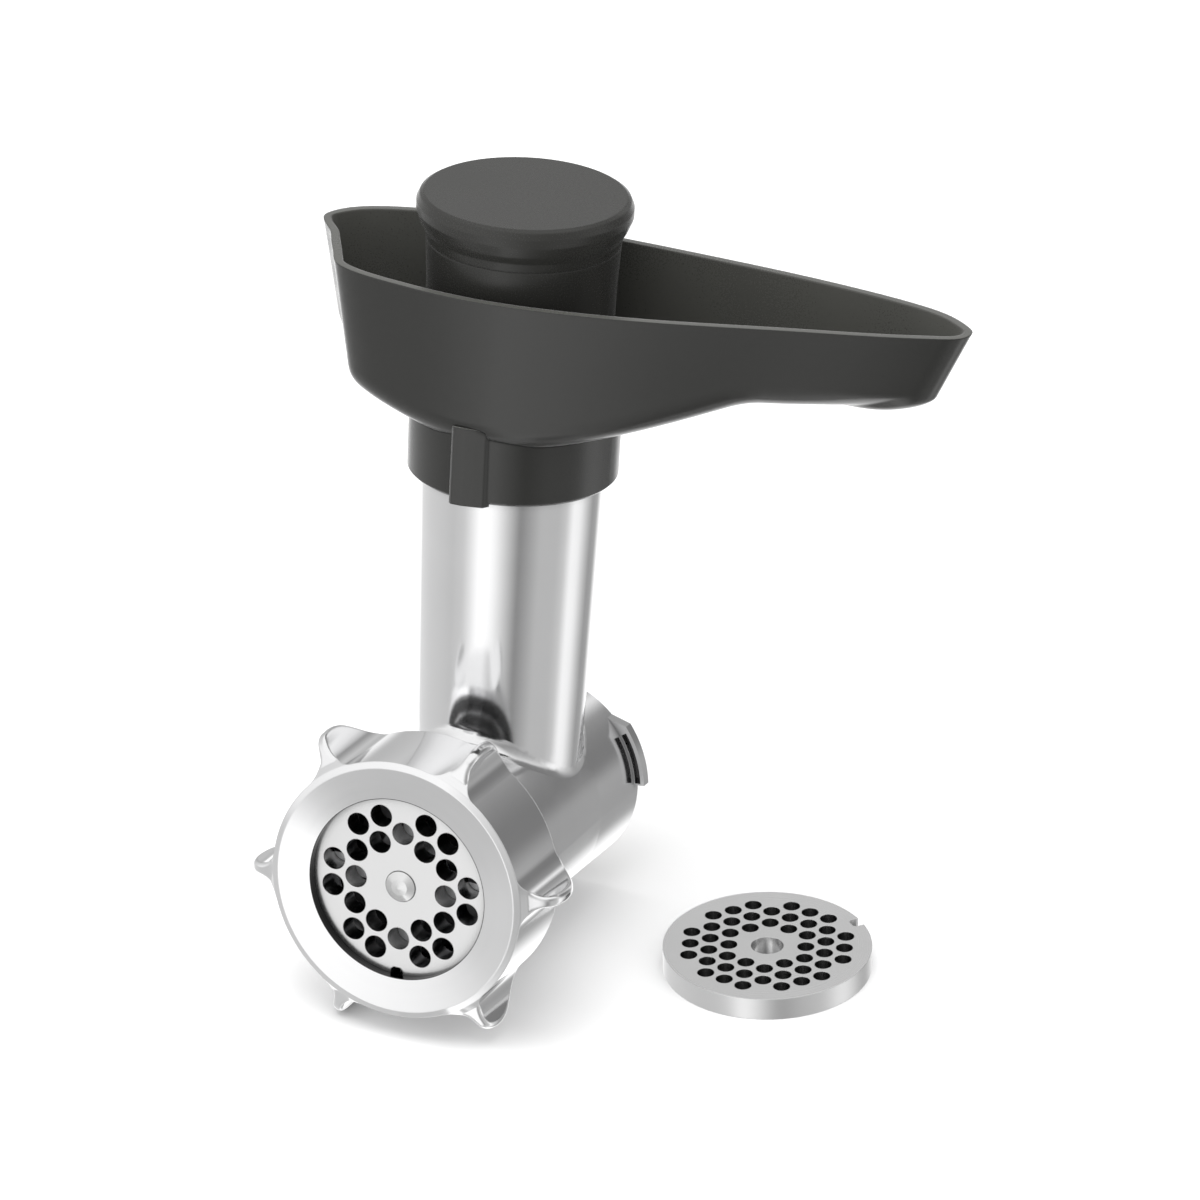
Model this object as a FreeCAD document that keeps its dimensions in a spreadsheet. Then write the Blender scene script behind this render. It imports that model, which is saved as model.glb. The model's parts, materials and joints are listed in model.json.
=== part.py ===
import FreeCAD, Part
import math
import os
import Sketcher

V = FreeCAD.Vector

# ---------------------------------------------------------------- driving sizes (mm)
# Barrel frame: x across, y along the barrel towards the machine, z up the feed tube,
# zero at the front face of the fitted plate on the barrel axis.
SIZES = {
    "plate_rad": 27.0, "plate_thick": 6.0, "plate_bore_rad": 4.2,
    "coarse_hole_rad": 3.0, "coarse_pitch": 7.28,
    "fine_hole_rad": 2.2, "fine_pitch": 5.745,
    "notch_width": 3.4, "fine_notch_depth": 2.8, "coarse_notch_depth": 4.4,
    "nut_front": -2.3, "nut_brow": -3.4, "nut_lip_back": -0.1, "nut_rear": 20.6,
    "nut_opening_rad": 24.5, "nut_bore_rad": 31.1, "nut_face_rad": 33.2,
    "nut_valley_rad": 34.8, "nut_tip_rad": 43.7, "nut_tip_at": 5.4,
    "lug_half_width": 1.5, "lug_flank_rad": 7.0, "lug_corner_rad": 1.1, "lug_turn": 6.0,
    "thread_rad": 31.0, "thread_end": 19.9, "barrel_front": 1.0,
    "recess_rad": 27.2, "recess_end": 13.5,
    "barrel_fore_rad": 27.2, "barrel_aft_rad": 26.0, "barrel_end": 89.0,
    "spigot_start": 66.0,
    "cavity_rad": 23.4, "wall_front": 76.0, "wall_back": 81.0, "socket_rad": 21.0,
    "tube_at": 57.93, "tube_root_rad": 20.7, "tube_taper": 0.02966,
    "tube_top": 113.0, "tube_wall": 2.2, "saddle_round": 4.0,
    "tab_front": 86.2, "tab_thick": 2.8, "tab_rad": 29.0, "tab_root_rad": 24.5,
    "tab_start": 4.5, "tab_end": 37.5, "tab_ramp": 17.6,
    "tab_groove_low": 26.5, "tab_groove_high": 28.0, "tab_groove_depth": 2.2,
    "split_height": 30.0,
    "auger_front": 11.8, "auger_split": 42.0, "auger_back": 73.0, "worm_rad": 22.8, "worm_pitch": 21.0,
    "core_fore_rad": 12.5, "core_aft_rad": 10.0, "shank_rad": 4.9,
    "shaft_rad": 6.0, "bush_bore_rad": 6.06, "shaft_shoulder": 81.5, "shaft_end": 92.0,
    "screw_rad": 2.5, "key_rad": 1.4, "pin_rad": 4.1, "square_side": 8.0, "blade_rad": 24.4,
    "rim_height": 151.0, "base_height": 106.0, "tray_wall": 2.2, "tray_floor": 2.6,
    "throat_rad": 24.2, "trough_height": 127.8, "lip_rad": 22.1, "lip_low": 113.3,
    "lip_high": 115.2, "funnel_foot": 110.3, "funnel_rise": 0.43,
    "collar_low": 95.0, "collar_low_rad": 27.1, "collar_top_rad": 27.4,
    "pusher_foot": 36.0, "pusher_seat": 115.5, "pusher_seat_rad": 23.7,
    "pusher_neck_rad": 25.0, "pusher_neck": 158.0, "cap_top": 170.2, "cap_rad": 27.8,
    "spare_x": 73.58, "spare_y": 63.93, "spare_turn": 50.4,
}

doc = FreeCAD.newDocument("meat_grinder")
sheet = doc.addObject("Spreadsheet::Sheet", "dims")
for row, (name, value) in enumerate(SIZES.items(), start=1):
    sheet.set("A%d" % row, name)
    sheet.set("B%d" % row, str(value))
    sheet.setAlias("B%d" % row, name)
doc.recompute()

S = SIZES


# ---------------------------------------------------------------- frames
GRINDER = FreeCAD.Placement()
BARREL = FreeCAD.Placement(V(0, 0, 0), FreeCAD.Rotation(V(1, 0, 0), -90))
TUBE = FreeCAD.Placement(V(0, S["tube_at"], 0), FreeCAD.Rotation())


# ---------------------------------------------------------------- helpers
def new_body(name):
    body = doc.addObject("PartDesign::Body", name)
    body.Label = name
    return body


def new_sketch(body, name, role, height=0.0):
    sketch = body.newObject("Sketcher::SketchObject", name)
    plane = [f for f in body.Origin.OriginFeatures if f.Role == role][0]
    sketch.AttachmentSupport = [(plane, "")]
    sketch.MapMode = "FlatFace"
    sketch.AttachmentOffset = FreeCAD.Placement(V(0, 0, height), FreeCAD.Rotation())
    return sketch


def number(coordinate):
    """A coordinate is a number or the name of a size."""
    return S[coordinate] if isinstance(coordinate, str) else float(coordinate)


def bind(sketch, constraint, name):
    index = sketch.addConstraint(constraint)
    sketch.setExpression("Constraints[%d]" % index, "dims." + name)


def outline(sketch, points):
    """Closed straight-sided outline; named coordinates are tied to the sheet."""
    corners = [V(number(x), number(y), 0) for x, y in points]
    first = sketch.GeometryCount
    count = len(corners)
    for i in range(count):
        sketch.addGeometry(Part.LineSegment(corners[i], corners[(i + 1) % count]), False)
    for i in range(count):
        following = first + (i + 1) % count
        sketch.addConstraint(Sketcher.Constraint("Coincident", first + i, 2, following, 1))
    for i, (x, y) in enumerate(points):
        if isinstance(x, str):
            bind(sketch, Sketcher.Constraint("DistanceX", -1, 1, first + i, 1, number(x)), x)
        if isinstance(y, str):
            bind(sketch, Sketcher.Constraint("DistanceY", -1, 1, first + i, 1, number(y)), y)


def circle(sketch, x, y, radius):
    index = sketch.addGeometry(Part.Circle(V(x, y, 0), V(0, 0, 1), number(radius)), False)
    if isinstance(radius, str):
        bind(sketch, Sketcher.Constraint("Radius", index, number(radius)), radius)
    return index


def feature(body, kind, name, sketch, **settings):
    item = body.newObject("PartDesign::" + kind, name)
    item.Profile = sketch
    for key, value in settings.items():
        setattr(item, key, value)
    sketch.Visibility = False
    body.Tip = item
    return item


def revolve(body, name, points, kind="Revolution", role="XZ_Plane"):
    """Turn an outline of (radius, height) points about the body's own upright axis."""
    sketch = new_sketch(body, name + "_profile", role)
    outline(sketch, points)
    axis = (sketch, ["V_Axis"])
    return feature(body, kind, name, sketch, ReferenceAxis=axis, Angle=360.0)


def turned(body, sketch, source, name, count):
    pattern = body.newObject("PartDesign::PolarPattern", name)
    pattern.Originals = [source]
    pattern.Axis = (sketch, ["N_Axis"])
    pattern.Angle = 360.0
    pattern.Occurrences = count
    body.Tip = pattern
    return pattern


def round_edges(body, name, radius, wanted):
    """Round the edges of the current shape for which the test is true."""
    doc.recompute()
    base = body.Tip
    chosen = [
        "Edge%d" % (i + 1) for i, edge in enumerate(base.Shape.Edges) if wanted(edge)
    ]
    item = body.newObject("PartDesign::Fillet", name)
    item.Base = (base, chosen)
    item.Radius = radius
    body.Tip = item
    doc.recompute()
    return item


def middle(edge):
    return edge.valueAt(0.5 * (edge.FirstParameter + edge.LastParameter))


def square_outline(sketch, side):
    half = 0.5 * side
    outline(sketch, [(-half, -half), (half, -half), (half, half), (-half, half)])


def polar(radius, degrees):
    a = math.radians(degrees)
    return V(radius * math.cos(a), radius * math.sin(a), 0)


NODES = []
LEANING = []


def finish(name, item, frame, leans=True):
    """Note the finished item and the frame it belongs in."""
    item.Label = name
    item.Placement = frame
    NODES.append((name, item))
    if leans:
        LEANING.append(item)


# ---------------------------------------------------------------- die-cast housing
def make_casting():
    body = new_body("casting")
    shell = new_sketch(body, "barrel_profile", "XY_Plane")
    outline(shell, [
        (18.0, "barrel_front"), ("thread_rad", "barrel_front"), ("thread_rad", "thread_end"),
        ("barrel_fore_rad", "thread_end"), ("barrel_aft_rad", "spigot_start"),
        ("barrel_aft_rad", "barrel_end"), (18.0, "barrel_end"),
    ])
    feature(body, "Revolution", "barrel", shell,
            ReferenceAxis=(shell, ["V_Axis"]), Angle=360.0)
    full = new_sketch(body, "core_profile", "XY_Plane")
    outline(full, [(0.0, 1.0), (18.2, 1.0), (18.2, "barrel_end"), (0.0, "barrel_end")])
    feature(body, "Revolution", "barrel_core", full,
            ReferenceAxis=(full, ["V_Axis"]), Angle=360.0)

    def tube_rad(z):
        return S["tube_root_rad"] + S["tube_taper"] * z

    at = S["tube_at"]
    top = S["tube_top"]
    tube = new_sketch(body, "tube_profile", "YZ_Plane")
    outline(tube, [
        (at, 5.0), (at + tube_rad(5.0), 5.0), (at + tube_rad(top), "tube_top"),
        (at, "tube_top"),
    ])
    axis = tube.addGeometry(Part.LineSegment(V(at, 0, 0), V(at, 10, 0)), True)
    tube.addConstraint(Sketcher.Constraint("Vertical", axis))
    bind(tube, Sketcher.Constraint("DistanceX", -1, 1, axis, 1, at), "tube_at")
    feature(body, "Revolution", "feed_tube", tube,
            ReferenceAxis=(tube, ["Axis0"]), Angle=360.0)

    def at_saddle(edge):
        point = middle(edge)
        on_barrel = abs(math.hypot(point.x, point.z) - 26.6) < 0.9
        off_axis = math.hypot(point.x, point.y - at)
        return on_barrel and point.z > 5 and abs(off_axis - tube_rad(point.z)) < 0.05

    round_edges(body, "saddle_round", S["saddle_round"], at_saddle)

    bore = new_sketch(body, "cavity_profile", "XY_Plane")
    outline(bore, [
        (0.0, -1.0), ("recess_rad", -1.0), ("recess_rad", "recess_end"),
        ("cavity_rad", "recess_end"), ("cavity_rad", "wall_front"), (0.0, "wall_front"),
    ])
    feature(body, "Groove", "cavity", bore, ReferenceAxis=(bore, ["V_Axis"]), Angle=360.0)
    back = new_sketch(body, "socket_profile", "XY_Plane")
    outline(back, [
        (0.0, 70.0), (9.0, 70.0), (9.0, "wall_back"), ("socket_rad", "wall_back"),
        ("socket_rad", 95.0), (0.0, 95.0),
    ])
    feature(body, "Groove", "rear_socket", back, ReferenceAxis=(back, ["V_Axis"]), Angle=360.0)

    throat = new_sketch(body, "throat_profile", "YZ_Plane")
    inner = -S["tube_wall"]
    outline(throat, [
        (at, 0.0), (at + tube_rad(0.0) + inner, 0.0),
        (at + tube_rad(top + 5) + inner, top + 5), (at, top + 5),
    ])
    axis = throat.addGeometry(Part.LineSegment(V(at, 0, 0), V(at, 10, 0)), True)
    throat.addConstraint(Sketcher.Constraint("Vertical", axis))
    feature(body, "Groove", "feed_bore", throat,
            ReferenceAxis=(throat, ["Axis0"]), Angle=360.0)

    key = new_sketch(body, "key_hole", "XZ_Plane", -11.0)
    circle(key, 0.0, -S["plate_rad"], "key_rad")
    feature(body, "Pocket", "key_bore", key, Type="Length", Length=20.0, Reversed=True)

    tab = new_sketch(body, "tab_outline", "XZ_Plane", -S["tab_front"] - 0.5 * S["tab_thick"])
    sector(tab, S["tab_root_rad"], S["tab_rad"], S["tab_start"], S["tab_end"], S["tab_ramp"])
    lug = feature(body, "Pad", "bayonet_tab", tab, Midplane=True)
    lug.setExpression("Length", "dims.tab_thick")
    doc.recompute()
    turned(body, tab, lug, "bayonet_tabs", 3)
    groove = new_sketch(body, "groove_outline", "XZ_Plane", -S["tab_front"])
    sector(groove, S["tab_groove_low"], S["tab_groove_high"], S["tab_start"] + 1.0,
           S["tab_end"] - 3.0)
    slot = feature(body, "Pocket", "tab_groove", groove, Reversed=False)
    slot.setExpression("Length", "dims.tab_groove_depth")
    doc.recompute()
    turned(body, groove, slot, "tab_grooves", 3)
    barrel, upright = split_at(body, V(0, at, S["split_height"]), "grinder_body", "feed_tube")
    finish("grinder_body", barrel, GRINDER)
    finish("feed_tube", upright, GRINDER)


def split_at(body, low_face, below_name, above_name):
    """One casting kept as two solids that meet in a level plane, so both stay open."""
    above = doc.addObject("Part::Box", "above_split")
    above.Length, above.Width, above.Height = 60.0, 60.0, 140.0
    above.Placement = FreeCAD.Placement(low_face - V(30.0, 30.0, 0), FreeCAD.Rotation())
    lower = doc.addObject("Part::Cut", below_name)
    lower.Base = body
    lower.Tool = above
    upper = doc.addObject("Part::Common", above_name)
    upper.Base = body
    upper.Tool = above
    return lower, upper


def arc(radius, start, end):
    round_line = Part.Circle(V(0, 0, 0), V(0, 0, 1), radius)
    return Part.ArcOfCircle(round_line, math.radians(start), math.radians(end))


def sector(sketch, inner, outer, start, end, ramp=0.0):
    """Closed ring sector; the ramp is how much further its inner arc runs than its outer."""
    low = arc(inner, start, end + ramp)
    high = arc(outer, start, end)
    sketch.addGeometry(low, False)
    sketch.addGeometry(high, False)
    sketch.addGeometry(Part.LineSegment(polar(inner, start), polar(outer, start)), False)
    sketch.addGeometry(Part.LineSegment(polar(inner, end + ramp), polar(outer, end)), False)
    for bow, point, line, tip in ((0, 1, 2, 1), (1, 1, 2, 2), (0, 2, 3, 1), (1, 2, 3, 2)):
        sketch.addConstraint(Sketcher.Constraint("Coincident", bow, point, line, tip))


def make_plate_key():
    key = doc.addObject("Part::Cylinder", "plate_key")
    key.setExpression("Radius", "dims.key_rad")
    key.Height = 9.6
    frame = BARREL.multiply(FreeCAD.Placement(V(0, S["plate_rad"], 1.2), FreeCAD.Rotation()))
    finish("plate_key", key, frame)


def make_bearing_bush():
    body = new_body("bearing_bush")
    revolve(body, "bush", [
        ("bush_bore_rad", 74.7), (11.0, 74.7), (11.0, "wall_front"), (9.0, "wall_front"),
        (9.0, "wall_back"), (8.0, "wall_back"), (8.0, 78.6), ("bush_bore_rad", 78.6),
    ])
    finish("bearing_bush", body, BARREL)


def make_shaft_seal():
    body = new_body("shaft_seal")
    revolve(body, "seal", [(6.04, 78.7), (7.98, 78.7), (7.98, "wall_back"), (6.04, "wall_back")])
    finish("shaft_seal", body, BARREL)


# ---------------------------------------------------------------- turning parts
def make_auger():
    body = new_body("screw_casting")
    revolve(body, "core", [
        ("shank_rad", "auger_front"), ("core_fore_rad", "auger_front"),
        ("core_aft_rad", "auger_back"), ("shank_rad", "auger_back"),
    ])
    flight = new_sketch(body, "flight_profile", "XZ_Plane")
    start = 15.0
    outline(flight, [
        (9.0, start - 3.2), ("worm_rad", start - 1.1), ("worm_rad", start + 1.1),
        (9.0, start + 3.2),
    ])
    worm = body.newObject("PartDesign::AdditiveHelix", "flight")
    worm.Profile = flight
    worm.ReferenceAxis = (flight, ["V_Axis"])
    worm.Mode = "pitch-height-angle"
    worm.setExpression("Pitch", "dims.worm_pitch")
    worm.Height = 54.5
    worm.Angle = 0.0
    body.Tip = worm
    doc.recompute()
    front, rear = split_at(body, V(0, 0, S["auger_split"]), "auger", "auger_rear")
    finish("auger", front, BARREL)
    finish("auger_rear", rear, BARREL)


def make_drive_shaft():
    body = new_body("drive_shaft")
    revolve(body, "shaft", [(0.0, 50.0), ("shank_rad", 50.0), ("shank_rad", "auger_back"),
                            ("shaft_rad", "auger_back"), ("shaft_rad", "shaft_shoulder"),
                            (0.0, "shaft_shoulder")])
    square = new_sketch(body, "square_outline", "XY_Plane", S["shaft_shoulder"] - 0.5)
    square_outline(square, S["square_side"])
    feature(body, "Pad", "square_end", square, Length=S["shaft_end"] - S["shaft_shoulder"] + 0.5)
    hole = new_sketch(body, "tapped_hole", "XY_Plane", S["shaft_end"])
    circle(hole, 0.0, 0.0, S["screw_rad"] + 0.05)
    feature(body, "Pocket", "screw_hole", hole, Length=10.2)
    finish("drive_shaft", body, BARREL)


def make_auger_spindle():
    """Front pin: round shank in the auger, square for the blade, round domed end."""
    body = new_body("auger_spindle")
    dome = 1.2
    revolve(body, "round", [
        (0.0, -dome), (2.2, -dome + 0.15), ("pin_rad", -0.2), ("pin_rad", 6.4), (0.0, 6.4),
    ])
    square = new_sketch(body, "square_outline", "XY_Plane", 6.2)
    square_outline(square, S["square_side"])
    feature(body, "Pad", "square", square, Length=6.0)
    shank = new_sketch(body, "shank_outline", "XY_Plane", 12.0)
    circle(shank, 0.0, 0.0, "shank_rad")
    feature(body, "Pad", "shank", shank, Length=26.0)
    finish("auger_spindle", body, BARREL)


def make_cross_blade():
    body = new_body("cross_blade")
    revolve(body, "hub", [(0.0, 6.1), (8.5, 6.1), (8.5, 11.7), (0.0, 11.7)])
    tip = S["blade_rad"]
    wing = new_sketch(body, "wing_outline", "XY_Plane", 6.1)
    outline(wing, [(0.0, -3.6), (tip - 1.6, -2.2), (tip, 0.6), (tip - 0.6, 2.6), (0.0, 3.6)])
    pad = feature(body, "Pad", "wing", wing, Length=3.6)
    doc.recompute()
    turned(body, wing, pad, "wings", 4)
    hole = new_sketch(body, "square_hole", "XY_Plane", 9.0)
    square_outline(hole, S["square_side"] + 0.12)
    feature(body, "Pocket", "square_bore", hole, Type="ThroughAll", Midplane=True)
    finish("cross_blade", body, BARREL)


def make_thrust_washer():
    body = new_body("thrust_washer")
    revolve(body, "washer", [("bush_bore_rad", 73.0), (11.5, 73.0), (11.5, 74.6),
                             ("bush_bore_rad", 74.6)])
    finish("thrust_washer", body, BARREL)


def make_drive_coupling():
    """Six-sided plastic dog that plugs into the machine's drive socket."""
    body = new_body("drive_coupling")
    revolve(body, "flange", [(0.0, 81.6), (11.0, 81.6), (11.0, 84.4), (0.0, 84.4)])
    dog = new_sketch(body, "dog_outline", "XY_Plane", 84.0)
    outline(dog, [(polar(9.8, a).x, polar(9.8, a).y) for a in range(0, 360, 60)])
    feature(body, "Pad", "dog", dog, Length=13.0)
    square = new_sketch(body, "square_outline", "XY_Plane", 80.0)
    square_outline(square, S["square_side"] + 0.2)
    feature(body, "Pocket", "square_bore", square, Length=12.1, Reversed=True)
    well = new_sketch(body, "screw_well", "XY_Plane", 93.2)
    circle(well, 0.0, 0.0, 4.9)
    feature(body, "Pocket", "head_well", well, Length=10.0, Reversed=True)
    stem = new_sketch(body, "screw_stem", "XY_Plane", 88.0)
    circle(stem, 0.0, 0.0, 2.6)
    feature(body, "Pocket", "stem_bore", stem, Length=10.0, Reversed=True)
    finish("drive_coupling", body, BARREL)


def make_coupling_screw():
    body = new_body("coupling_screw")
    revolve(body, "screw", [
        (0.0, 82.0), ("screw_rad", 82.0), ("screw_rad", 93.2), (4.7, 93.2), (4.7, 95.4), (3.9, 96.4),
        (0.0, 96.4),
    ])
    slot = new_sketch(body, "recess_outline", "XY_Plane", 94.4)
    outline(slot, [(polar(2.3, a).x, polar(2.3, a).y) for a in range(0, 360, 60)])
    feature(body, "Pocket", "hex_recess", slot, Length=4.0, Reversed=True)
    finish("coupling_screw", body, BARREL)


# ---------------------------------------------------------------- plates and ring nut
def lattice_distance(steps_a, steps_b):
    """Distance and bearing of a hole, counted in steps along two rows 60 degrees apart."""
    x = steps_a + 0.5 * steps_b
    y = 0.5 * math.sqrt(3.0) * steps_b
    return math.hypot(x, y), math.degrees(math.atan2(y, x))


def make_plate(name, kind, steps, frame, leans):
    """Perforated disc; each hole given in row steps stands for a ring of six."""
    body = new_body(name)
    thick = S["plate_thick"]
    disc = new_sketch(body, "disc_outline", "XY_Plane")
    circle(disc, 0.0, 0.0, "plate_rad")
    circle(disc, 0.0, 0.0, "plate_bore_rad")
    pad = feature(body, "Pad", "disc", disc)
    pad.setExpression("Length", "dims.plate_thick")
    doc.recompute()
    holes = new_sketch(body, "hole_outlines", "XY_Plane", thick)
    for a, b in steps:
        far, bearing = lattice_distance(a, b)
        spot = polar(far * S[kind + "_pitch"], bearing + 90.0)
        circle(holes, spot.x, spot.y, kind + "_hole_rad")
    cut = feature(body, "Pocket", "holes", holes, Type="ThroughAll")
    doc.recompute()
    turned(body, holes, cut, "hole_rings", 6)
    notch = new_sketch(body, "notch_outline", "XY_Plane", thick)
    half = 0.5 * S["notch_width"]
    deep = S["plate_rad"] - S[kind + "_notch_depth"]
    shoulder = deep + 0.4 * half
    outline(notch, [(-0.6 * half, deep), (0.6 * half, deep), (half, shoulder), (half, 29.0),
                    (-half, 29.0), (-half, shoulder)])
    feature(body, "Pocket", "notch", notch, Type="ThroughAll")
    finish(name, body, frame, leans)


def make_cutting_plate():
    steps = [(2, 0), (1, 1), (2, 1), (1, 2)]
    make_plate("cutting_plate", "coarse", steps, BARREL, True)


def make_fine_plate():
    steps = [(2, 0), (1, 1), (3, 0), (2, 1), (1, 2), (3, 1), (1, 3), (2, 2)]
    turn = FreeCAD.Rotation(V(0, 0, 1), S["spare_turn"] - 90.0)
    frame = FreeCAD.Placement(V(S["spare_x"], S["spare_y"], 0), turn)
    make_plate("fine_plate", "fine", steps, frame, False)


def make_ring_nut():
    body = new_body("ring_nut")
    blank = new_sketch(body, "blank_profile", "XZ_Plane")
    corners = [
        (36.2, "nut_rear"), ("nut_bore_rad", "nut_rear"), ("nut_bore_rad", "nut_lip_back"),
        ("nut_opening_rad", "nut_lip_back"), ("nut_opening_rad", "nut_front"),
        ("nut_face_rad", "nut_brow"), (34.9, -2.6), (36.4, -1.0),
    ]
    swell = [(38.8, -0.3), (41.3, 0.7), (42.9, 2.5), ("nut_tip_rad", "nut_tip_at"),
             (43.4, 10.0), (41.5, 14.8), (38.7, 18.4)]
    swelling_outline(blank, corners, swell)
    feature(body, "Revolution", "blank", blank, ReferenceAxis=(blank, ["V_Axis"]), Angle=360.0)
    valley = new_sketch(body, "valley_outline", "XY_Plane", 9.0)
    valley_outline(valley, -S["lug_turn"] - 30.0)
    cut = feature(body, "Pocket", "valley", valley, Type="ThroughAll", Midplane=True)
    doc.recompute()
    turned(body, valley, cut, "valleys", 6)

    def on_lug_corner(edge):
        point = middle(edge)
        far = math.hypot(point.x, point.y)
        bearing = math.degrees(math.atan2(point.y, point.x)) + S["lug_turn"]
        off = abs((bearing + 30.0) % 60.0 - 30.0)
        side = far * math.sin(math.radians(off))
        bent = not isinstance(edge.Curve, Part.Line)
        return bent and far > 37.0 and abs(side - S["lug_half_width"]) < 0.25

    round_edges(body, "lug_corners", S["lug_corner_rad"], on_lug_corner)
    finish("ring_nut", body, BARREL)


def swelling_outline(sketch, corners, swell):
    """Closed outline: straight lines from corner to corner, then a smooth curve back."""
    points = [V(number(x), number(y), 0) for x, y in corners]
    for low, high in zip(points, points[1:]):
        sketch.addGeometry(Part.LineSegment(low, high), False)
    through = [V(number(x), number(y), 0) for x, y in swell]
    curve = Part.BSplineCurve()
    curve.interpolate(Points=[points[-1]] + through + [points[0]])
    sketch.addGeometry(curve, False)


def valley_outline(sketch, bisector):
    """Scoop between two lugs: round floor, two concave flanks, two straight lug sides."""
    floor = S["nut_valley_rad"]
    flank = S["lug_flank_rad"]
    half = S["lug_half_width"]
    along = math.sqrt((floor + flank) ** 2 - (half + flank) ** 2)
    sides = []
    for sign in (-1, 1):
        lug = math.radians(bisector + 30.0 * sign)
        out = V(math.cos(lug), math.sin(lug), 0)
        inward = V(math.sin(lug), -math.cos(lug), 0) * sign
        centre = out * along + inward * (half + flank)
        on_floor = centre * (floor / (floor + flank))
        on_side = out * along + inward * half
        far = out * 52.0 + inward * half
        bend = centre + (on_floor + on_side - centre * 2).normalize() * flank
        sides.append((on_floor, bend, on_side, far))
    a, b = sides
    floor_middle = polar(floor, bisector)
    lines = [
        Part.Arc(a[0], floor_middle, b[0]), Part.Arc(b[0], b[1], b[2]),
        Part.LineSegment(b[2], b[3]), Part.LineSegment(b[3], a[3]),
        Part.LineSegment(a[3], a[2]), Part.Arc(a[2], a[1], a[0]),
    ]
    for line in lines:
        sketch.addGeometry(line, False)


# ---------------------------------------------------------------- hopper tray
# Rim stations, counted round the tray from the cut-off end, about the tube axis.
RIM = [
    (-58.3, 7.0), (-56.6, 11.2), (-53.0, 15.4), (-48.8, 18.3), (-41.8, 21.6), (-24.0, 26.2),
    (5.0, 29.8), (36.0, 30.6), (60.0, 30.4), (81.0, 29.2), (97.0, 27.2), (108.2, 24.0),
    (114.4, 20.0), (118.0, 15.4), (117.2, 11.2), (112.0, 7.2), (102.0, 2.4), (78.0, -7.2),
    (47.0, -19.6), (22.0, -27.2), (-5.0, -30.9), (-24.0, -29.4), (-36.6, -26.6),
    (-41.3, -23.8), (-44.6, -18.4), (-48.8, -10.8), (-53.1, -3.0),
]
FOOT_SCALE = (0.83, 0.91)


def tray_ring(height, inset):
    """Closed smooth ring at a height, moved inwards by the inset."""
    drop = (S["rim_height"] - height) / (S["rim_height"] - S["base_height"])
    scale_x = 1.0 - (1.0 - FOOT_SCALE[0]) * drop
    scale_y = 1.0 - (1.0 - FOOT_SCALE[1]) * drop
    points = [V(x * scale_x, y * scale_y, 0) for x, y in RIM]
    count = len(points)
    moved = []
    for i, point in enumerate(points):
        along = points[(i + 1) % count] - points[i - 1]
        inward = V(along.y, -along.x, 0).normalize()
        moved.append(point + inward * inset)
    ring = Part.BSplineCurve()
    ring.interpolate(Points=moved, PeriodicFlag=True)
    return ring


def make_tray_solid(name, inset, lift, overrun, roundness):
    """Tapered tray-shaped block whose underside funnels down towards the tube."""
    body = new_body(name)
    levels = (S["rim_height"] + overrun, S["base_height"] + lift)
    rings = []
    for i, level in enumerate(levels):
        sketch = new_sketch(body, "ring_%d" % i, "XY_Plane", level)
        sketch.addGeometry(tray_ring(level, inset), False)
        rings.append(sketch)
    loft = body.newObject("PartDesign::AdditiveLoft", "sides")
    loft.Profile = rings[0]
    loft.Sections = [rings[1]]
    loft.Ruled = True
    body.Tip = loft
    doc.recompute()
    foot = S["funnel_foot"] + lift
    trough = S["trough_height"] + lift
    rise = S["funnel_rise"]
    lead = S["throat_rad"]
    knee = lead + (trough - foot) / rise
    under = new_sketch(body, "underside_profile", "XZ_Plane")
    reach = 4.0
    corners = [
        V(0, 90, 0), V(0, foot, 0), V(lead, foot, 0),
        V(knee - reach, trough - rise * reach, 0), V(knee + reach, trough, 0),
        V(160, trough, 0), V(160, 90, 0),
    ]
    bow = Part.BezierCurve()
    bow.setPoles([corners[3], V(knee, trough, 0), corners[4]])
    for i in range(7):
        if i == 3:
            under.addGeometry(bow.toBSpline(), False)
        else:
            under.addGeometry(Part.LineSegment(corners[i], corners[(i + 1) % 7]), False)
    feature(body, "Groove", "underside", under, ReferenceAxis=(under, ["V_Axis"]), Angle=360.0)

    def along_foot(edge):
        point = middle(edge)
        outside = math.hypot(point.x, point.y) > 26.0
        seam = abs(point.y) < 0.01
        return outside and point.z < trough + 0.5 and not seam and not level_ring(edge)

    round_edges(body, "foot_round", roundness, along_foot)
    return body


def level_ring(edge):
    """True for an arc or circle about the tube axis, which lies in the underside itself."""
    low = edge.BoundBox.ZLength < 0.01
    if not low:
        return False
    a = edge.valueAt(edge.FirstParameter)
    b = middle(edge)
    return abs(math.hypot(a.x, a.y) - math.hypot(b.x, b.y)) < 0.01


def make_hopper_tray():
    outer = make_tray_solid("tray_outside", 0.0, 0.0, 0.0, 8.0)
    inner = make_tray_solid("tray_inside", S["tray_wall"], S["tray_floor"], 1.5, 5.0)
    doc.recompute()
    hollow = doc.addObject("Part::Cut", "tray_shell")
    hollow.Base = outer
    hollow.Tool = inner
    hole = doc.addObject("Part::Cylinder", "throat")
    hole.setExpression("Radius", "dims.throat_rad")
    hole.Height = 40.0
    hole.Placement = FreeCAD.Placement(V(0, 0, 100), FreeCAD.Rotation())
    pierced = doc.addObject("Part::Cut", "pierced_tray")
    pierced.Base = hollow
    pierced.Tool = hole
    lip = new_body("throat_lip")
    revolve(lip, "lip", [
        ("lip_rad", "lip_low"), ("throat_rad", "lip_low"), ("throat_rad", 111.6), (26.0, 111.6),
        (26.0, "lip_high"), ("lip_rad", "lip_high"),
    ])
    tray = doc.addObject("Part::Fuse", "hopper_tray")
    tray.Base = pierced
    tray.Tool = lip
    finish("hopper_tray", tray, TUBE)
    return outer


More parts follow.
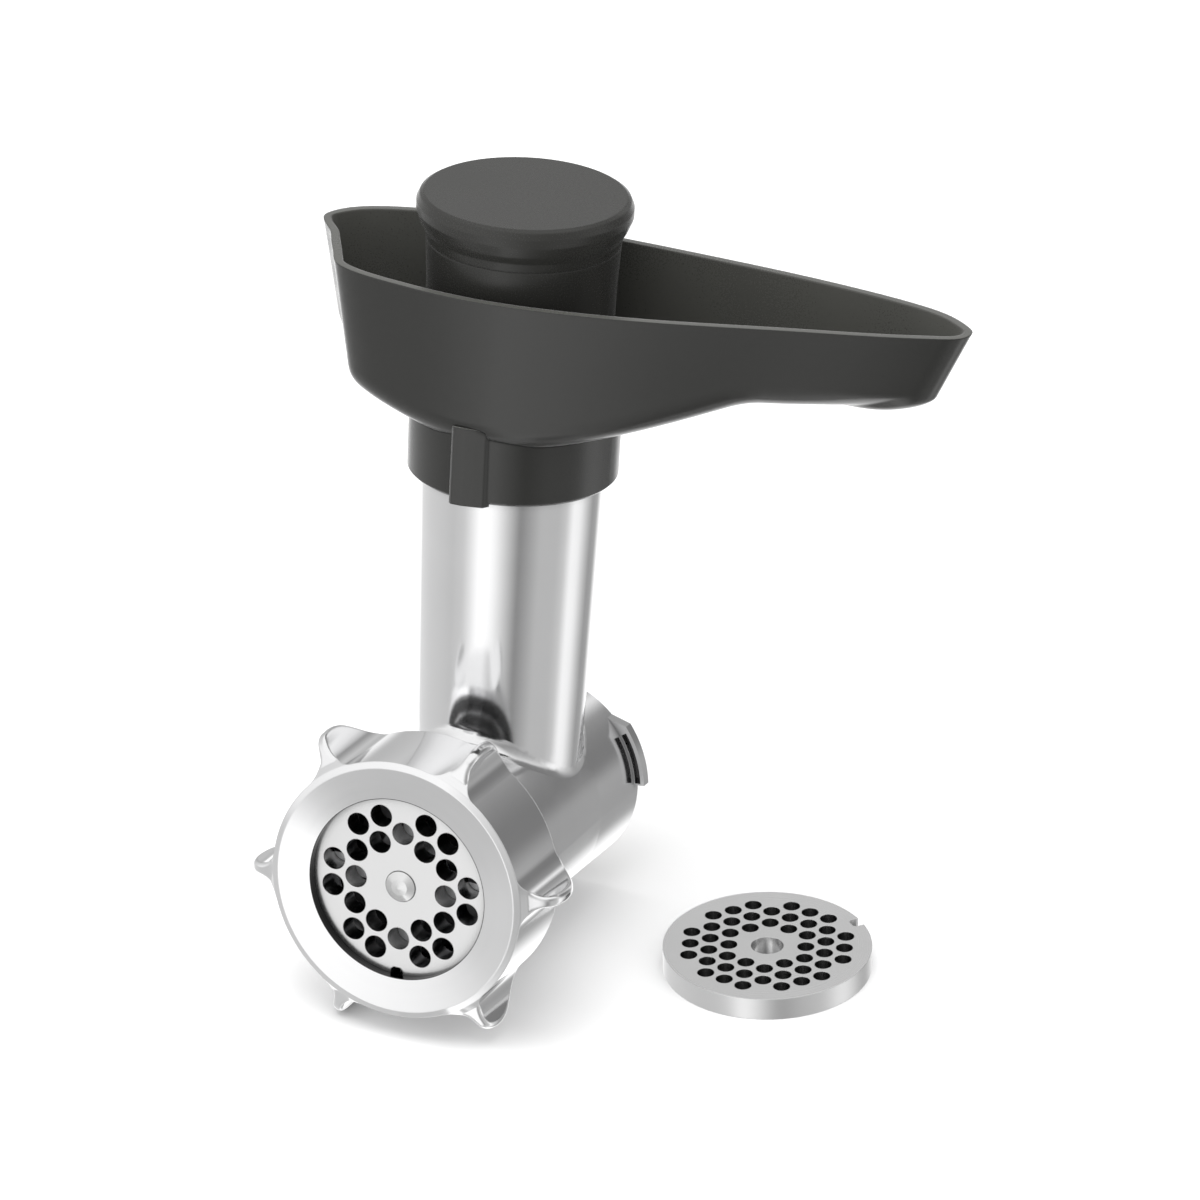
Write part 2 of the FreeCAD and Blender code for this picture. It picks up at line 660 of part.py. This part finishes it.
def make_tray_collar(outer):
    """Sleeve under the tray that grips the tube; its top follows the tray's underside."""
    body = new_body("collar_sleeve")
    low = S["collar_low"]
    revolve(body, "sleeve", [
        ("throat_rad", low), (26.3, low), ("collar_low_rad", low + 0.8),
        ("collar_top_rad", 122.0), ("throat_rad", 122.0),
    ])
    rib = new_sketch(body, "rib_outline", "XY_Plane", low - 0.5)
    outline(rib, [(-4.9, -26.0), (-4.7, -28.6), (-3.9, -29.3), (-1.0, -29.2), (1.8, -28.5),
                  (4.4, -27.8), (5.4, -26.0)])
    feature(body, "Pad", "rib", rib, Length=21.0)
    collar = doc.addObject("Part::Cut", "tray_collar")
    collar.Base = body
    collar.Tool = outer
    finish("tray_collar", collar, TUBE)


# ---------------------------------------------------------------- pusher
def make_pusher_body():
    body = new_body("pusher_body")
    seat = S["pusher_seat"]
    foot = S["pusher_foot"]
    gap = S["tube_wall"] + 0.7

    def plug_rad(z):
        return S["tube_root_rad"] + S["tube_taper"] * z - gap

    revolve(body, "stem", [
        (0.0, "pusher_foot"), (plug_rad(foot) - 1.5, "pusher_foot"),
        (plug_rad(foot), foot + 1.5), (plug_rad(seat), "pusher_seat"),
        ("pusher_seat_rad", "pusher_seat"), (24.3, 146.0), ("pusher_neck_rad", "pusher_neck"),
        (22.6, "pusher_neck"), (21.6, 118.2), (18.4, 116.2), (16.6, foot + 2.4),
        (0.0, foot + 2.4),
    ])
    finish("pusher_body", body, TUBE)


def make_pusher_cap():
    """Bell-shaped head closing the hollow pusher, with a plug that enters its mouth."""
    body = new_body("pusher_cap")
    revolve(body, "head", [
        (0.0, 152.0), (22.3, 152.0), (22.5, "pusher_neck"), ("pusher_neck_rad", "pusher_neck"),
        (25.4, 160.5), (26.6, 162.6), ("cap_rad", 165.6), ("cap_rad", 167.8),
        (27.0, 169.6), (26.0, "cap_top"), (0.0, "cap_top"),
    ])
    finish("pusher_cap", body, TUBE)


# ---------------------------------------------------------------- assembly and files
def make_all():
    make_casting()
    make_plate_key()
    make_bearing_bush()
    make_shaft_seal()
    make_auger()
    make_drive_shaft()
    make_auger_spindle()
    make_cross_blade()
    make_thrust_washer()
    make_drive_coupling()
    make_coupling_screw()
    make_cutting_plate()
    make_ring_nut()
    outer = make_hopper_tray()
    make_tray_collar(outer)
    make_pusher_body()
    make_pusher_cap()
    make_fine_plate()


def lowest_after(shape, degrees):
    turned_shape = shape.copy()
    turned_shape.rotate(V(0, 0, 0), V(1, 0, 0), -degrees)
    return turned_shape.optimalBoundingBox(False).ZMin


def find_lean(front, rear):
    """Lean at which the ring nut and the rear bayonet tab touch the floor together."""
    low, high = 6.0, 9.0
    for _ in range(11):
        angle = 0.5 * (low + high)
        if lowest_after(front, angle) < lowest_after(rear, angle):
            low = angle
        else:
            high = angle
    return angle


def set_on_floor():
    """Lean the grinder on its nut and tab, then centre everything over the origin."""
    doc.recompute()
    found = dict(NODES)
    nut = found["ring_nut"].Shape
    housing = found["grinder_body"].Shape
    lean = find_lean(nut, housing)
    lift = -min(lowest_after(nut, lean), lowest_after(housing, lean))
    print("lean %.3f lift %.3f" % (lean, lift))
    rest = FreeCAD.Placement(V(0, 0, lift), FreeCAD.Rotation(V(1, 0, 0), -lean))
    for item in LEANING:
        item.Placement = rest.multiply(item.Placement)
    doc.recompute()
    boxes = [item.Shape.optimalBoundingBox(False) for name, item in NODES]
    middle_x = 0.5 * (min(b.XMin for b in boxes) + max(b.XMax for b in boxes))
    middle_y = 0.5 * (min(b.YMin for b in boxes) + max(b.YMax for b in boxes))
    print("centre %.3f %.3f" % (middle_x, middle_y))
    shift = FreeCAD.Placement(V(-middle_x, -middle_y, 0), FreeCAD.Rotation())
    for name, item in NODES:
        item.Placement = shift.multiply(item.Placement)
    doc.recompute()


def write_files():
    os.makedirs("parts", exist_ok=True)
    for name, item in NODES:
        shape = item.Shape
        bad = [state for state in item.State if state in ("Invalid", "Error")]
        if bad or shape.isNull() or not shape.isValid():
            raise RuntimeError("%s is not a sound shape" % name)
        shape.exportStep("parts/%s.step" % name)
        print(name, len(shape.Solids), round(shape.Volume), shape.optimalBoundingBox(False))


make_all()
set_on_floor()
write_files()
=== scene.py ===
import json
import math

import bpy
from mathutils import Matrix, Vector

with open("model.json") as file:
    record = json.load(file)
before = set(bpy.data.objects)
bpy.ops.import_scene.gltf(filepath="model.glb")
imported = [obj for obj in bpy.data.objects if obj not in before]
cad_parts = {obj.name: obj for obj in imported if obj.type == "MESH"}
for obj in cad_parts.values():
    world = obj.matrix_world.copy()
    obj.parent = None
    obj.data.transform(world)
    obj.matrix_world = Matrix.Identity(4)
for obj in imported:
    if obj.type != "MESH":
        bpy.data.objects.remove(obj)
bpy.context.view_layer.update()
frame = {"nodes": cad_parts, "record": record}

# ------------------------------------------------------------------ the part's own frame
# The grinder leans back on its rear tab. Patterns on it are laid out in the barrel's frame:
# y along the barrel, z up the feed tube, zero at the front face of the fitted disc.
# All lengths are in metres.
OPENING_AHEAD = 0.0012      # from the disc's face to the middle of the nut's opening
TUBE_AT = 0.05793           # the feed tube's axis, measured along the barrel

mounts = {mount["name"]: mount for mount in frame["record"]["mounts"]}
OPENING = mounts["nut_opening"]
BARREL_FORWARD = Vector(OPENING["axis"])
BARREL_ORIGIN = Vector(OPENING["pos_m"]) - BARREL_FORWARD * OPENING_AHEAD
LEAN = math.atan2(BARREL_FORWARD.z, -BARREL_FORWARD.y)
INTO_BARREL = (-LEAN, 0.0, 0.0)
SPARE = Vector(mounts["spare_disc_bore"]["pos_m"])


# ------------------------------------------------------------------ node helpers
class Graph:
    """A node tree with short ways to add and join nodes."""

    def __init__(self, tree):
        self.tree = tree
        tree.nodes.clear()

    def add(self, kind, inputs=None, **settings):
        node = self.tree.nodes.new(kind)
        for key, value in settings.items():
            setattr(node, key, value)
        for key, value in (inputs or {}).items():
            self.put(node.inputs[key], value)
        return node

    def put(self, socket, value):
        """Join the socket to another one, or give it a plain value."""
        if isinstance(value, bpy.types.NodeSocket):
            self.tree.links.new(value, socket)
        else:
            socket.default_value = value

    def math(self, operation, a, b=0.0, c=0.0):
        node = self.add("ShaderNodeMath", operation=operation)
        for socket, value in zip(node.inputs, (a, b, c)):
            self.put(socket, value)
        return node.outputs[0]

    def plus(self, a, b):
        return self.math("ADD", a, b)

    def times(self, a, b):
        return self.math("MULTIPLY", a, b)

    def above(self, value, limit):
        """One where the value is over the limit, or else zero."""
        return self.math("GREATER_THAN", value, limit)

    def below(self, value, limit):
        """One where the value is under the limit, or else zero."""
        return self.math("LESS_THAN", value, limit)

    def span(self, value, low, high, to_low=0.0, to_high=1.0, smooth=False):
        """Carry low to to_low and high to to_high, and hold the ends."""
        node = self.add("ShaderNodeMapRange", {
            "Value": value, "From Min": low, "From Max": high, "To Min": to_low, "To Max": to_high})
        if smooth:
            node.interpolation_type = "SMOOTHSTEP"
        return node.outputs[0]

    def mix(self, factor, a, b):
        node = self.add("ShaderNodeMix", data_type="FLOAT")
        self.put(node.inputs["Factor"], factor)
        self.put(node.inputs[2], a)
        self.put(node.inputs[3], b)
        return node.outputs[0]

    def noise(self, vector, scale, detail=2.0, roughness=0.5):
        node = self.add("ShaderNodeTexNoise", {
            "Vector": vector, "Scale": scale, "Detail": detail, "Roughness": roughness})
        return node.outputs[0]

    def noise_of(self, value, scale, detail=2.0):
        """Noise along one measured length only."""
        node = self.add("ShaderNodeTexNoise", noise_dimensions="1D")
        self.put(node.inputs["W"], value)
        self.put(node.inputs["Scale"], scale)
        self.put(node.inputs["Detail"], detail)
        return node.outputs[0]

    def bump(self, height, distance, strength, normal=None):
        node = self.add("ShaderNodeBump", {
            "Height": height, "Distance": distance, "Strength": strength})
        if normal is not None:
            self.put(node.inputs["Normal"], normal)
        return node.outputs[0]

    def rounded(self, radius):
        """A normal that rounds sharp edges off."""
        return self.add("ShaderNodeBevel", {"Radius": radius}, samples=4).outputs[0]

    def parts_of(self, vector):
        return tuple(self.add("ShaderNodeSeparateXYZ", {"Vector": vector}).outputs)

    def length(self, a, b):
        return self.math("SQRT", self.math("MULTIPLY_ADD", a, a, self.times(b, b)))

    def moved(self, vector, **placing):
        """The vector as it reads from a frame that is placed so."""
        inputs = {"Vector": vector}
        inputs.update({key.capitalize(): value for key, value in placing.items()})
        return self.add("ShaderNodeMapping", inputs, vector_type="TEXTURE").outputs[0]


def barrel_point(graph):
    """Object coordinates turned into the barrel's frame."""
    where = graph.add("ShaderNodeTexCoord").outputs["Object"]
    return graph.moved(where, location=BARREL_ORIGIN, rotation=INTO_BARREL)


def spare_point(graph):
    """Object coordinates measured from the spare disc's middle."""
    where = graph.add("ShaderNodeTexCoord").outputs["Object"]
    return graph.moved(where, location=(SPARE.x, SPARE.y, 0.0))


def new_material(name):
    material = bpy.data.materials.new(name)
    material.use_nodes = True
    graph = Graph(material.node_tree)
    shader = graph.add("ShaderNodeBsdfPrincipled")
    output = graph.add("ShaderNodeOutputMaterial")
    graph.put(output.inputs["Surface"], shader.outputs[0])
    return material, graph, shader


def tint(graph, value, colour):
    """A grey level times a colour."""
    node = graph.add("ShaderNodeVectorMath", operation="SCALE")
    node.inputs[0].default_value = colour
    graph.put(node.inputs["Scale"], value)
    return node.outputs[0]


# ------------------------------------------------------------------ metals
# Noise scales, in patches per metre.
METAL_CLOUD, METAL_FINE = 54.0, 3600.0
LATHE_RINGS, LATHE_ALONG, CASTING_GRAIN = 5200.0, 4300.0, 2600.0
CLOUD_WITH_MARKS = (0.5, 1.1)               # usual range of a cloud and a share of the marks
TWO_NOISES = (0.6, 1.4)                     # usual range of two noises added
MARKS_SHARE, FINE_SHARE = 0.6, 0.35
METAL_LEVELS = (0.965, 1.02)
METAL_BUMP = 0.5
CLOSED_GAP, OPEN_SKY = 0.25, 0.85           # open share of the view out of a gap, for the painted gap shade
# Painted shade: a band where the threads meet and the nut's inner lip are darkened, standing in for
# the unlit gap the feed tube mirrors and the shadow gap at the lip.
SHADE_BAND_INNER, SHADE_BAND_OUTER = 0.0276, 0.0325     # radii of the painted dark band where the threads meet
SHADE_BAND_END = 0.021                            # its rear end along the barrel
LIP_RADIUS = 0.02465                        # the nut's inner lip, painted dark as shade, lies within this
SHADE_BAND_LEVEL = 0.06
RIM_ROUGHER = 0.08


def painted_gap_shade(graph, reach, darkest):
    """Painted shade: one in the open, falling towards darkest in gaps narrower than the reach."""
    shade = graph.add("ShaderNodeAmbientOcclusion", {"Distance": reach}, samples=6)
    return graph.span(shade.outputs["AO"], CLOSED_GAP, OPEN_SKY, darkest, 1.0)


def painted_shade_band(graph, place, start):
    """Painted shade: dark where the threads meet, behind start, and on the nut's inner lip."""
    x, y, z = graph.parts_of(place)
    far = graph.length(x, z)
    ring = graph.times(graph.above(far, SHADE_BAND_INNER), graph.below(far, SHADE_BAND_OUTER))
    rear = graph.times(graph.above(y, start), graph.below(y, SHADE_BAND_END))
    lip = graph.below(far, LIP_RADIUS)
    patch = graph.math("MAXIMUM", graph.times(ring, rear), lip)
    return graph.span(patch, 0.0, 1.0, 1.0, SHADE_BAND_LEVEL)


def metal(name, colour, roughness, lay, edge=0.0003, spread=0.05, depth=0.000004,
          point=barrel_point, gap=0.004, darkest=0.25, shade_band_from=None, rim_at=None):
    """Metal with tool marks, whose height lay(graph, place) gives.

    The marks and soft clouds vary the roughness by spread either way. Gaps narrower than gap
    get painted shade, falling towards darkest. Beyond rim_at, a flat disc's rim is rougher and
    gets no painted shade.
    """
    material, graph, shader = new_material(name)
    place = point(graph)
    marks = lay(graph, place)
    cloud = graph.noise(place, METAL_CLOUD, 3.0)
    fine = graph.noise(place, METAL_FINE)
    level = graph.span(graph.plus(cloud, graph.times(marks, MARKS_SHARE)),
                       *CLOUD_WITH_MARKS, *METAL_LEVELS)
    # Painted shade in gaps narrower than gap.
    shade = painted_gap_shade(graph, gap, darkest)
    rough = graph.span(graph.plus(marks, cloud), *TWO_NOISES,
                       roughness - spread, roughness + spread)
    # A disc's rim is rougher and carries no painted shade.
    if rim_at is not None:
        x, y, _ = graph.parts_of(place)
        rim = graph.above(graph.length(x, y), rim_at)
        shade = graph.math("MAXIMUM", shade, rim)
        rough = graph.math("MULTIPLY_ADD", rim, RIM_ROUGHER, rough)
    level = graph.times(level, shade)
    # Painted shade: a dark band behind shade_band_from and on the nut's inner lip.
    if shade_band_from is not None:
        level = graph.times(level, painted_shade_band(graph, place, shade_band_from))
    graph.put(shader.inputs["Base Color"], tint(graph, level, colour))
    graph.put(shader.inputs["Roughness"], rough)
    normal = graph.rounded(edge) if edge else None
    height = graph.plus(marks, graph.times(fine, FINE_SHARE))
    graph.put(shader.inputs["Normal"], graph.bump(height, depth, METAL_BUMP, normal))
    shader.inputs["Metallic"].default_value = 1.0
    return material


def turned_lay(graph, place):
    """Rings left by a lathe round the barrel's axis, on faces and on turned sides."""
    x, y, z = graph.parts_of(place)
    around = graph.length(x, z)
    rings = graph.noise_of(around, LATHE_RINGS, 3.0)
    along = graph.noise_of(y, LATHE_ALONG, 3.0)
    return graph.times(graph.plus(rings, along), 0.5)


def turned_flat_lay(graph, place):
    """Rings round an upright axis, on a disc that lies flat."""
    x, y, _ = graph.parts_of(place)
    return graph.noise_of(graph.length(x, y), LATHE_RINGS, 3.0)


def casting_lay(graph, place):
    """Short blasted and tumbled texture of a finished casting."""
    return graph.noise(place, CASTING_GRAIN, 4.0, 0.6)


# ------------------------------------------------------------------ plastics and rubber
PLASTIC_GRAIN, PLASTIC_CLOUD = 2400.0, 38.0
PLASTIC_LEVELS = (0.93, 1.07)
PLASTIC_SPREAD = 0.05
PLASTIC_EDGE = 0.0007
PLASTIC_BUMP = 0.6
GRAIN_DEPTH = 0.0000012
SHEEN_ROUGHNESS = 0.3
INSIDE_ROUGHER = 0.12
INSIDE_SLOPES = (0.05, 0.30)                # where the inner side begins, and where it is full


def inner_side(graph, place):
    """One on faces that look up or in towards the feed tube, zero on the outside."""
    facing = graph.add("ShaderNodeNewGeometry").outputs["Normal"]
    nx, ny, nz = graph.parts_of(graph.moved(facing, rotation=INTO_BARREL))
    x, y, _ = graph.parts_of(place)
    deep = graph.math("SUBTRACT", y, TUBE_AT)
    outward = graph.math("MULTIPLY_ADD", nx, x, graph.times(ny, deep))
    away = graph.math("DIVIDE", outward, graph.length(x, deep))
    inward = graph.times(away, -1.0)
    return graph.span(graph.math("MAXIMUM", nz, inward), *INSIDE_SLOPES)


def plastic(name, colour, roughness, painted_inner_light=None, ior=1.56, sheen=0.0):
    """Moulded plastic. Its inner side may be less glossy and painted lighter, by the factor
    painted_inner_light, as painted light falling inside.
    """
    material, graph, shader = new_material(name)
    place = barrel_point(graph)
    grain = graph.noise(place, PLASTIC_GRAIN, 3.0, 0.55)
    cloud = graph.noise(place, PLASTIC_CLOUD, 4.0)
    level = graph.span(graph.plus(grain, cloud), *TWO_NOISES, *PLASTIC_LEVELS)
    rough = graph.span(graph.plus(grain, cloud), *TWO_NOISES,
                       roughness - PLASTIC_SPREAD, roughness + PLASTIC_SPREAD)
    if painted_inner_light is not None:
        mask = inner_side(graph, place)
        # Painted light: faces inside the tray are lighter, standing in for light falling into it.
        level = graph.times(level, graph.span(mask, 0.0, 1.0, 1.0, painted_inner_light))
        rough = graph.plus(rough, graph.times(mask, INSIDE_ROUGHER))
    graph.put(shader.inputs["Base Color"], tint(graph, level, colour))
    graph.put(shader.inputs["Roughness"], rough)
    normal = graph.rounded(PLASTIC_EDGE)
    graph.put(shader.inputs["Normal"], graph.bump(grain, GRAIN_DEPTH, PLASTIC_BUMP, normal))
    shader.inputs["IOR"].default_value = ior
    shader.inputs["Sheen Weight"].default_value = sheen
    shader.inputs["Sheen Roughness"].default_value = SHEEN_ROUGHNESS
    return material


# ------------------------------------------------------------------ finishes
NEAR_BLACK = (0.016, 0.016, 0.0145)

finishes = {
    "cast_aluminium": metal("satin cast aluminium", (0.90, 0.90, 0.905), 0.14, casting_lay,
                            edge=0.0, spread=0.03, depth=0.0000005, shade_band_from=0.0197),
    "polished_aluminium": metal("polished turned aluminium", (0.92, 0.92, 0.925), 0.10,
                                turned_lay, edge=0.0005, spread=0.03, depth=0.000001,
                                shade_band_from=0.0204),
    "plate_steel": metal("ground plate steel", (0.86, 0.86, 0.86), 0.22, turned_lay,
                         depth=0.0000025, gap=0.006, darkest=0.08),
    "blade_steel": metal("ground blade steel", (0.94, 0.94, 0.95), 0.32, casting_lay,
                         gap=0.0004),
    "auger_aluminium": metal("cast auger aluminium", (0.34, 0.34, 0.35), 0.38, casting_lay),
    "shaft_steel": metal("turned shaft steel", (0.80, 0.80, 0.80), 0.2, turned_lay),
    "screw_steel": metal("plain screw steel", (0.62, 0.62, 0.63), 0.28, turned_lay),
    "tray_plastic": plastic("dark tray plastic", NEAR_BLACK, 0.17, painted_inner_light=4.4, sheen=0.35),
    "pusher_plastic": plastic("dark pusher plastic", (0.024, 0.024, 0.022), 0.27, ior=1.42,
                              sheen=0.10),
    "bearing_plastic": plastic("bearing plastic", (0.70, 0.69, 0.65), 0.45),
    "coupling_plastic": plastic("coupling plastic", (0.62, 0.61, 0.57), 0.42),
    "seal_rubber": plastic("seal rubber", (0.02, 0.02, 0.02), 0.6),
}
spare_steel = metal("ground spare disc steel", (0.88, 0.88, 0.88), 0.24, turned_flat_lay,
                    depth=0.0000025, point=spare_point, gap=0.006, darkest=0.12, rim_at=0.0265)

for part in frame["record"]["subparts"]:
    item = frame["nodes"][part["node"]]
    item.data.materials.clear()
    item.data.materials.append(finishes[part["material_slot"]])
frame["nodes"]["fine_plate"].data.materials[0] = spare_steel


# ------------------------------------------------------------------ camera
AZIMUTH, ELEVATION, ROLL = (math.radians(a) for a in (25.071, 29.588, -0.707))
TARGET = Vector((0.002800, 0.002015, 0.105124))
DISTANCE = 3.67166
LENS = 432.45
SENSOR = 36.0
FAR_CLIP = 100.0


def direction(bearing, rise):
    """The way out from the target, with the bearing measured from the front."""
    return Vector((math.sin(bearing) * math.cos(rise), -math.cos(bearing) * math.cos(rise),
                   math.sin(rise)))


def facing_back(way):
    """The turn of a camera or light that stands out along way and looks back."""
    return way.to_track_quat("Z", "Y").to_matrix()


towards = direction(AZIMUTH, ELEVATION)
aim = facing_back(towards) @ Matrix.Rotation(ROLL, 3, "Z")
lens = bpy.data.cameras.new("camera")
lens.lens = LENS
lens.sensor_width = SENSOR
lens.clip_end = FAR_CLIP
camera = bpy.data.objects.new("camera", lens)
camera.matrix_world = Matrix.Translation(TARGET + towards * DISTANCE) @ aim.to_4x4()
bpy.context.scene.collection.objects.link(camera)
bpy.context.scene.camera = camera


# ------------------------------------------------------------------ studio
# Brightness of the room as the metals see it, by bearing in degrees from the view's azimuth.
LOW_ROOM = [
    (-180, 1.50), (-164, 1.35), (-150, 0.80), (-120, 0.68), (-90, 0.62), (-76, 0.58),
    (-60, 0.66), (-50, 0.90), (-40, 1.20), (-32, 1.25), (-20, 1.05), (-6, 0.66), (10, 0.26),
    (20, 0.36), (36, 0.52), (60, 0.52), (72, 0.62), (84, 1.05), (96, 0.98), (110, 0.62),
    (124, 0.34), (140, 0.40), (152, 1.00), (164, 1.30), (180, 1.50),
]
HIGH_ROOM = [
    (-180, 0.60), (-168, 0.42), (-150, 0.60), (-120, 0.70), (-90, 0.90), (-60, 1.00),
    (-30, 1.05), (0, 0.55), (30, 0.30), (60, 0.45), (88, 0.75), (102, 0.24), (126, 0.20),
    (138, 0.30), (147, 0.95), (156, 0.30), (166, 0.36), (180, 0.60),
]
# Heights, as the upward part of a direction, where one zone of the room gives way to another.
LOW_TO_HIGH = (-0.22, 0.02)
HIGH_TO_CEILING = (0.55, 0.85)
CEILING = 1.0
# A grey panel low on the left.
PANEL_HEIGHTS = (-0.30, -0.46)
PANEL_MIDDLE, PANEL_HALF = math.radians(-52.0), math.radians(16.0)
PANEL_LEVEL = 0.55
BACKDROP = 1.0
TABLE_GREY, TABLE_ROUGHNESS = 0.93, 0.9
TABLE_REACH = 12.0


def ramp(graph, factor, stops):
    """Grey levels by bearing. A new ramp already holds its two ends, so they come first."""
    node = graph.add("ShaderNodeValToRGB", {"Fac": factor})
    elements = node.color_ramp.elements
    for stop, (_, level) in zip(elements, (stops[0], stops[-1])):
        stop.color = (level, level, level, 1.0)
    for bearing, level in stops[1:-1]:
        elements.new((bearing + 180.0) / 360.0).color = (level, level, level, 1.0)
    return node.outputs["Color"]


def make_room():
    """A world whose reflections show the room, while the view itself stays white."""
    world = bpy.data.worlds.new("studio")
    world.use_nodes = True
    graph = Graph(world.node_tree)
    way = graph.add("ShaderNodeTexCoord").outputs["Generated"]
    x, y, z = graph.parts_of(way)
    bearing = graph.math("ARCTAN2", x, graph.times(y, -1.0))
    relative = graph.math("SUBTRACT", bearing, AZIMUTH)
    wrapped = graph.math("WRAP", relative, math.pi, -math.pi)
    turn = graph.span(wrapped, -math.pi, math.pi)
    low = ramp(graph, turn, LOW_ROOM)
    high = ramp(graph, turn, HIGH_ROOM)
    room = graph.mix(graph.span(z, *LOW_TO_HIGH, smooth=True), low, high)
    room = graph.mix(graph.span(z, *HIGH_TO_CEILING, smooth=True), room, CEILING)
    low_down = graph.span(z, *PANEL_HEIGHTS, smooth=True)
    beside = graph.math("ABSOLUTE", graph.plus(wrapped, -PANEL_MIDDLE))
    panel = graph.times(low_down, graph.below(beside, PANEL_HALF))
    room = graph.mix(panel, room, PANEL_LEVEL)
    path = graph.add("ShaderNodeLightPath")
    seen = graph.mix(path.outputs["Is Glossy Ray"], BACKDROP, room)
    seen = graph.mix(path.outputs["Is Camera Ray"], seen, BACKDROP)
    back = graph.add("ShaderNodeBackground", {"Color": (1.0, 1.0, 1.0, 1.0), "Strength": seen})
    output = graph.add("ShaderNodeOutputWorld")
    graph.put(output.inputs["Surface"], back.outputs[0])
    bpy.context.scene.world = world


def make_light(name, size, power, bearing, height, reach):
    """A soft light that no reflection shows, by its bearing and height in degrees."""
    light = bpy.data.lights.new(name, "AREA")
    light.shape = "RECTANGLE"
    light.size, light.size_y = size
    light.energy = power
    item = bpy.data.objects.new(name, light)
    way = direction(math.radians(bearing) + AZIMUTH, math.radians(height))
    item.matrix_world = (Matrix.Translation(TARGET + way * reach)
                         @ facing_back(way).to_4x4())
    item.visible_camera = False
    item.visible_glossy = False
    bpy.context.scene.collection.objects.link(item)


def make_floor():
    """A matt white table, which the metals don't mirror."""
    r = TABLE_REACH
    mesh = bpy.data.meshes.new("floor")
    mesh.from_pydata([(-r, -r, 0), (r, -r, 0), (r, r, 0), (-r, r, 0)], [], [(0, 1, 2, 3)])
    floor = bpy.data.objects.new("floor", mesh)
    bpy.context.scene.collection.objects.link(floor)
    material, _, shader = new_material("white table")
    shader.inputs["Base Color"].default_value = (TABLE_GREY, TABLE_GREY, TABLE_GREY, 1.0)
    shader.inputs["Roughness"].default_value = TABLE_ROUGHNESS
    shader.inputs["Specular IOR Level"].default_value = 0.0
    mesh.materials.append(material)
    floor.visible_glossy = False


make_room()
make_light("top", size=(1.6, 1.6), power=24.0, bearing=-40.0, height=80.0, reach=1.8)
make_light("fill", size=(1.2, 0.8), power=4.0, bearing=-70.0, height=30.0, reach=2.0)
make_floor()
bpy.context.scene.view_settings.view_transform = "Standard"
